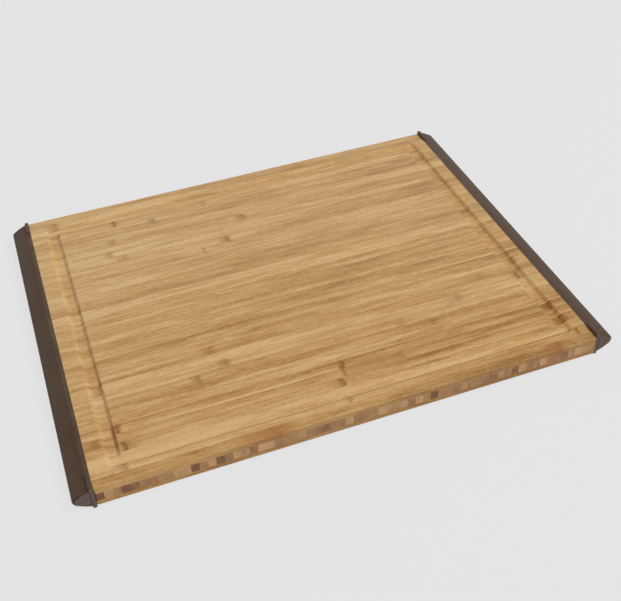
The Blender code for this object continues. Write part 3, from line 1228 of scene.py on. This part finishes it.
@dataclass
class EndStrip:
    """The stiff rail and the soft grip at one end of the board.

    Attributes:
        board: the board.
        end: which end it is.
        rail_finish: the rail's finish.
        grip_finish: the grip's finish.
        slip: how far the strip sits towards the back.
        drift: the place in the grain, half-way between those of the two ends.
        ear_length: the length of the ears at the rail's ends, which stand proud of both faces as feet.
        ear_round: the radius of their edges.
        tongue: half the length and half the height of the rail's tongue in the core.
        rib: the same for the rail's rib in the grip.
        clearance: the room round the rib.
        nose: the radius of the grip's outer edge.
        crown: how far the grip's slopes bulge.
        turn: the radius in plan of the grip's outer corners.
        end_round: the radius of the edges of the grip's ends.
        crease: the angle from which an edge of the grip stays sharp.
        ear_steps: the facets of an ear's edge.
        slope_steps: the facets of a slope.
        nose_steps: the facets of the nose.
        turn_steps: the facets of a corner in plan.
    """

    board: Board
    end: End
    rail_finish: Finish
    grip_finish: Finish
    slip: float = 0.0
    drift: float = 3.0
    ear_length: float = 13.0 * MM
    ear_round: float = 0.6 * MM
    tongue: tuple[float, float] = (121.7 * MM, 1.5 * MM)
    rib: tuple[float, float] = (127.7 * MM, 2.0 * MM)
    clearance: float = 0.2 * MM
    nose: float = 3.2 * MM
    crown: float = 0.35 * MM
    turn: float = 2.4 * MM
    end_round: float = 0.5 * MM
    crease: float = math.radians(32)
    ear_steps: int = 4
    slope_steps: int = 6
    nose_steps: int = 24
    turn_steps: int = 12

    def build(self) -> None:
        """Make the rail and the grip."""
        word = self.end.name.lower()
        rail_box = self._outward(*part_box(f"{word}_rail"))
        grip_box = self._outward(*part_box(f"{word}_grip"))
        inner = self.board.high.x + self.board.film
        outer = grip_box[0].x - self.board.film
        rail = self._rail_mesh(rail_box, inner, outer)
        grip = self._grip_mesh(grip_box, rail_box[1].x - outer)
        pieces = (("rail", rail, self.rail_finish, inner), ("grip", grip, self.grip_finish, grip_box[0].x))
        for kind, builder, finish, start in pieces:
            self._put(builder, start, (rail_box[0].z + rail_box[1].z) / 2)
            piece = make_object(f"{word}_{kind}_skin", builder)
            write_number(piece.data, "drift", self.drift + self.end.value)
            write_number(piece.data, "slip", self.slip)
            set_piece(piece, finish, f"{word}_{kind}")

    def _outward(self, low: Vector, high: Vector) -> tuple[Vector, Vector]:
        """Turn a box to the right end.

        Args:
            low: the lowest corner of a box at this end.
            high: its highest corner.

        Returns:
            The corners of the same box at the right end.
        """
        if self.end is End.RIGHT:
            return low, high
        return Vector((-high.x, -high.y, low.z)), Vector((-low.x, -low.y, high.z))

    def _put(self, builder: bmesh.types.BMesh, distance: float, height: float) -> None:
        """Turn a mesh, modelled for the right end, to its end and move it there.

        Args:
            builder: the mesh, with its inner face on x = 0.
            distance: from the middle of the board to that face.
            height: the z of its middle.
        """
        turn = Matrix.Rotation(0.0 if self.end is End.RIGHT else math.pi, 4, "Z")
        move = Matrix.Translation((self.end.value * distance, self.slip, height)) @ turn
        bmesh.ops.transform(builder, matrix=move, verts=builder.verts)

    def _rail_mesh(self, box: tuple[Vector, Vector], inner: float, outer: float) -> bmesh.types.BMesh:
        """Model the rail: a bar level with both faces, with two ears, a tongue inside and a rib outside.

        Args:
            box: the corners of its solid.
            inner: the x of its inner face.
            outer: the x of its outer face.

        Returns:
            A bmesh for the right end, with its inner face on x = 0.
        """
        low, high = box
        half = Vector((0.0, (high.y - low.y) / 2, (self.board.high.z - self.board.low.z) / 2))
        proud = high.z - self.board.high.z
        start = half.y - self.ear_length
        builder = box_mesh(-half, half + Vector((outer - inner, 0.0, 0.0)))
        for y in (-start, start):
            geometry = [*builder.verts, *builder.edges, *builder.faces]
            bmesh.ops.bisect_plane(
                builder, geom=geometry, dist=SAME_POINT, plane_co=(0, y, 0), plane_no=(0, 1, 0),
            )
        flats = [face for face in builder.faces if abs(face.normal.z) > ALONG]
        flats = [face for face in flats if abs(face.calc_center_median().y) > start]
        for ear in bmesh.ops.extrude_discrete_faces(builder, faces=flats)["faces"]:
            rise = Vector((0, 0, math.copysign(proud, ear.normal.z)))
            bmesh.ops.translate(builder, vec=rise, verts=ear.verts)
        bmesh.ops.dissolve_limit(
            builder, angle_limit=math.radians(1), use_dissolve_boundaries=False,
            verts=builder.verts, edges=builder.edges, delimit=set(),
        )
        edges = edges_where(builder, lambda mid, way: (
            abs(mid.z) > half.z + SAME_POINT or abs(mid.y) > half.y - SAME_POINT
        ))
        round_edges(builder, edges, self.ear_round, self.ear_steps)
        punch(builder, Vector((-1, 0, 0)), *self.tongue, inner - low.x)
        punch(builder, Vector((1, 0, 0)), *self.rib, high.x - outer)
        return builder

    def _grip_mesh(self, box: tuple[Vector, Vector], rib_reach: float) -> bmesh.types.BMesh:
        """Model the grip: two crowned slopes from the rail, a round nose and flat ends.

        Args:
            box: the corners of its solid.
            rib_reach: how far the rail's rib enters it.

        Returns:
            A bmesh for the right end, with its root on x = 0.
        """
        low, high = box
        half_length = (high.y - low.y) / 2
        builder = bmesh.new()
        loops = []
        for sign in (-1, 1):
            for step in range(self.turn_steps + 1):
                angle = math.pi / 2 * step / self.turn_steps
                from_end = self.turn * (1 - math.sin(angle))
                drawn_in = self.turn * (1 - math.cos(angle))
                inset = 0.0
                if from_end < self.end_round:
                    inset = self.end_round - math.sqrt(2 * self.end_round * from_end - from_end ** 2)
                points = self._section(high.x - low.x - drawn_in, (high.z - low.z) / 2, inset)
                y = sign * (half_length - from_end)
                loops.append(add_loop(builder, [(x, y, z) for x, z in points]))
            if sign < 0:
                loops.reverse()
        for loop, following in zip(loops, loops[1:]):
            bmesh.ops.bridge_loops(builder, edges=loop + following)
        ends = (loops[0], loops[-1])
        caps = [bmesh.ops.contextual_create(builder, geom=loop)["faces"][0] for loop in ends]
        bmesh.ops.recalc_face_normals(builder, faces=builder.faces)
        slot = (self.rib[0] + self.clearance, self.rib[1] + self.clearance)
        punch(builder, Vector((-1, 0, 0)), *slot, -rib_reach - self.clearance)
        shade_round(builder, self.crease)
        for cap in caps:
            for edge in cap.edges:
                edge.smooth = False
        return builder

    def _section(self, reach: float, root: float, inset: float) -> list[tuple[float, float]]:
        """Draw the grip's section.

        Args:
            reach: from its root to its nose.
            root: half its height at the root.
            inset: how far its three free sides are drawn in.

        Returns:
            The (x, z) points, from the top of the root round the nose to the bottom of the root.
        """
        full_reach = reach - self.nose
        taper = math.atan2(root, full_reach) - math.asin(self.nose / math.hypot(root, full_reach))
        height = root - inset / math.cos(taper)
        apex = height / math.tan(taper)
        centre = (reach - inset - apex * math.sin(taper)) / (1 - math.sin(taper))
        radius = reach - inset - centre
        touch = Vector((centre + radius * math.sin(taper), radius * math.cos(taper)))
        start = Vector((0.0, height))
        bulge = Vector((math.sin(taper), math.cos(taper))) * self.crown
        slope = []
        for step in range(self.slope_steps):
            share = step / self.slope_steps
            slope.append(start.lerp(touch, share) + bulge * (4 * share * (1 - share)))
        points = [tuple(point) for point in slope]
        spread = math.pi / 2 - taper
        for step in range(self.nose_steps + 1):
            angle = spread * (1 - 2 * step / self.nose_steps)
            points.append((centre + radius * math.cos(angle), radius * math.sin(angle)))
        points += [(point.x, -point.y) for point in reversed(slope)]
        return points


@dataclass(frozen=True)
class Softbox:
    """A square lamp with an even, soft light.

    Attributes:
        name: its name.
        place: where it hangs.
        aim: the point that it faces.
        size: the length of its sides.
        power: in watts.
    """

    name: str
    place: tuple[float, float, float]
    aim: tuple[float, float, float]
    size: float
    power: float

    def build(self) -> None:
        """Hang the lamp."""
        lamp = bpy.data.lights.new(self.name, "AREA")
        lamp.shape = "SQUARE"
        lamp.size = self.size
        lamp.energy = self.power
        item = bpy.data.objects.new(self.name, lamp)
        bpy.context.scene.collection.objects.link(item)
        item.location = self.place
        item.rotation_euler = (Vector(self.aim) - Vector(self.place)).to_track_quat("-Z", "Y").to_euler()


@dataclass
class Studio:
    """A pale floor that runs into a pale backdrop, a dim ceiling and a soft lamp from the right.

    Attributes:
        floor_colour: the colour of the floor, which the camera also sees beyond it.
        floor_glow: how far the floor shows its own colour, and not its light and shadow, to the camera.
        floor_size: half the floor's side.
        ceiling: the light of the ceiling.
        horizon: what the horizon adds to it, all round.
        horizon_edge: the heights at which that ends and is full.
        backdrop: the light of a band behind the board, in reflections.
        band_top: the heights at which the band ends above and is full.
        band_foot: the same for its lower edge.
        band_side: how far back it begins and is full.
        dusk: the light of the ceiling in reflections.
        lamps: the lamps.
    """

    floor_colour: Colour = (0.770, 0.770, 0.770)
    floor_glow: float = 0.93
    floor_size: float = 12.0
    ceiling: float = 0.48
    horizon: float = 0.82
    horizon_edge: Span = (0.28, 0.10)
    backdrop: float = 2.3
    band_top: Span = (0.66, 0.50)
    band_foot: Span = (0.12, 0.26)
    band_side: Span = (0.10, 0.40)
    dusk: float = 0.04
    lamps: Sequence[Softbox] = (
        Softbox("key_softbox", (1.75, -1.66, 3.35), (0.0, 0.0, 0.0), 2.0, 145.0),
    )

    def build(self) -> None:
        """Set up the floor, the sky and the lamps."""
        builder = bmesh.new()
        bmesh.ops.create_grid(builder, x_segments=1, y_segments=1, size=self.floor_size)
        floor = make_object("floor", builder)
        floor.data.materials.append(self._floor_material())
        self._build_sky()
        for lamp in self.lamps:
            lamp.build()
        bpy.context.scene.view_settings.view_transform = "Standard"

    def _floor_material(self) -> bpy.types.Material:
        """Make the matt paint of the floor.

        Returns:
            A material that shows the camera and reflections mostly its plain colour.
        """
        material = bpy.data.materials.new("floor_paint")
        graph = Graph(material)
        paint = graph.skin(Base_Color=(*self.floor_colour, 1.0), Roughness=0.9, Specular_IOR_Level=0.1)
        plain = graph.out(graph.node("ShaderNodeEmission", inputs={"Color": (*self.floor_colour, 1.0)}))
        ray = graph.node("ShaderNodeLightPath")
        seen = sum(graph.out(ray, f"Is {kind} Ray") for kind in ("Camera", "Glossy", "Transmission"))
        share = graph.maths("MINIMUM", seen, 1.0) * self.floor_glow
        blend = graph.node("ShaderNodeMixShader", inputs={0: share, 1: paint, 2: plain})
        graph.surface(graph.out(blend))
        return material

    def _build_sky(self) -> None:
        """Make a dim ceiling, a pale horizon, and a bright band behind the board for reflections."""
        world = bpy.data.worlds.new("studio_sky")
        bpy.context.scene.world = world
        graph = Graph(world)
        _, y, z = graph.split(graph.place("Generated"))
        low = graph.ease(z, *self.horizon_edge) * self.horizon
        band = graph.ease(z, *self.band_top) * graph.ease(z, *self.band_foot)
        behind = band * graph.ease(y, *self.band_side)
        shine = graph.maths("MAXIMUM", behind * self.backdrop, low + self.dusk)
        soft = graph.maths("MAXIMUM", behind * self.horizon, low + self.ceiling)
        ray = graph.node("ShaderNodeLightPath")
        mirrored, seen = (graph.out(ray, f"Is {kind} Ray") for kind in ("Glossy", "Camera"))
        light = soft + mirrored * (shine - soft) + seen * (self.floor_colour[0] - soft)
        sky = graph.node("ShaderNodeBackground", inputs={"Strength": light})
        graph.surface(graph.out(sky), "ShaderNodeOutputWorld")


@dataclass(frozen=True)
class PhotoView:
    """The camera, at the angle from which the board was photographed.

    Attributes:
        azimuth: degrees from the front, to the right.
        elevation: degrees above the board.
        roll: degrees about the line of sight.
        distance: from the target to the lens.
        target: the point of the top face in the middle of the picture.
        focal_length: in millimetres, on a sensor of the given width.
        sensor_width: in millimetres.
        nearest: how near to the lens it still sees.
    """

    azimuth: float = -18.142
    elevation: float = 40.903
    roll: float = -3.003
    distance: float = 673.34 * MM
    target: tuple[float, float] = (5.93 * MM, -31.21 * MM)
    focal_length: float = 55.902
    sensor_width: float = 36.0
    nearest: float = 10 * MM

    def build(self, top: float) -> None:
        """Make the camera and look through it.

        Args:
            top: the z of the top face.
        """
        camera = bpy.data.cameras.new("photo_view")
        camera.lens = self.focal_length
        camera.sensor_fit = "HORIZONTAL"
        camera.sensor_width = self.sensor_width
        camera.clip_start = self.nearest
        item = bpy.data.objects.new("photo_view", camera)
        bpy.context.scene.collection.objects.link(item)
        turn = math.radians(self.azimuth)
        rise = math.radians(self.elevation)
        level = math.cos(rise)
        back = Vector((math.sin(turn) * level, -math.cos(turn) * level, math.sin(rise)))
        right = Vector((math.cos(turn), math.sin(turn), 0.0))
        facing = Matrix((right, back.cross(right), back)).transposed().to_4x4()
        rolled = facing @ Matrix.Rotation(math.radians(self.roll), 4, "Z")
        eye = Vector((*self.target, top)) + back * self.distance
        item.matrix_world = Matrix.Translation(eye) @ rolled
        bpy.context.scene.camera = item


def main() -> None:
    """Build the board's pieces, the studio and the camera."""
    logging.basicConfig(level=logging.INFO, format="%(message)s")
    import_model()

    slats, slats_per_stave = 37, 2
    strips, strips_per_stave = 64, 4
    board = Board.from_frame(math.ceil(slats / slats_per_stave))
    PhotoView().build(board.high.z)
    Studio().build()

    pitch = (board.high.y - board.low.y) / slats
    face_finish = Finish(FaceBamboo(pitch, board.low.y, board.high.z).material(), "face_bamboo")
    core_finish = Finish(CoreBamboo().material(), "core_bamboo")
    rail_end, grip_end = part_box("right_rail")[1].y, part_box("right_grip")[1].y
    deep, rubbed, cut = (0.056, 0.029, 0.015), (0.076, 0.042, 0.022), (0.110, 0.086, 0.070)
    stiff, dusty = (0.067, 0.039, 0.024), (0.100, 0.067, 0.048)
    fine, coarse = (Grain((count,) * 3, 2.0) for count in (4200, 3600))
    rail_skin = SoftTouch("rail_matt_plastic", stiff, dusty, cut, rail_end, roughness=0.46, pits=fine)
    grip_skin = SoftTouch("grip_soft_rubber", deep, rubbed, cut, grip_end, roughness=0.50, pits=coarse)
    rail_finish = Finish(rail_skin.material(), "rail_plastic")
    grip_finish = Finish(grip_skin.material(), "grip_rubber")

    cutter = Groove(board).cutter()
    FacePly(board, Face.TOP, face_finish, slats, slats_per_stave, seed=11).build(cutter)
    bpy.data.objects.remove(cutter)
    FacePly(board, Face.BOTTOM, face_finish, slats, slats_per_stave, seed=23).build()
    CorePly(board, core_finish, strips, strips_per_stave, seed=5).build()
    for end, slip in ((End.LEFT, 0.0), (End.RIGHT, 1.0 * MM)):
        EndStrip(board, end, rail_finish, grip_finish, slip).build()


if __name__ == "__main__":
    main()
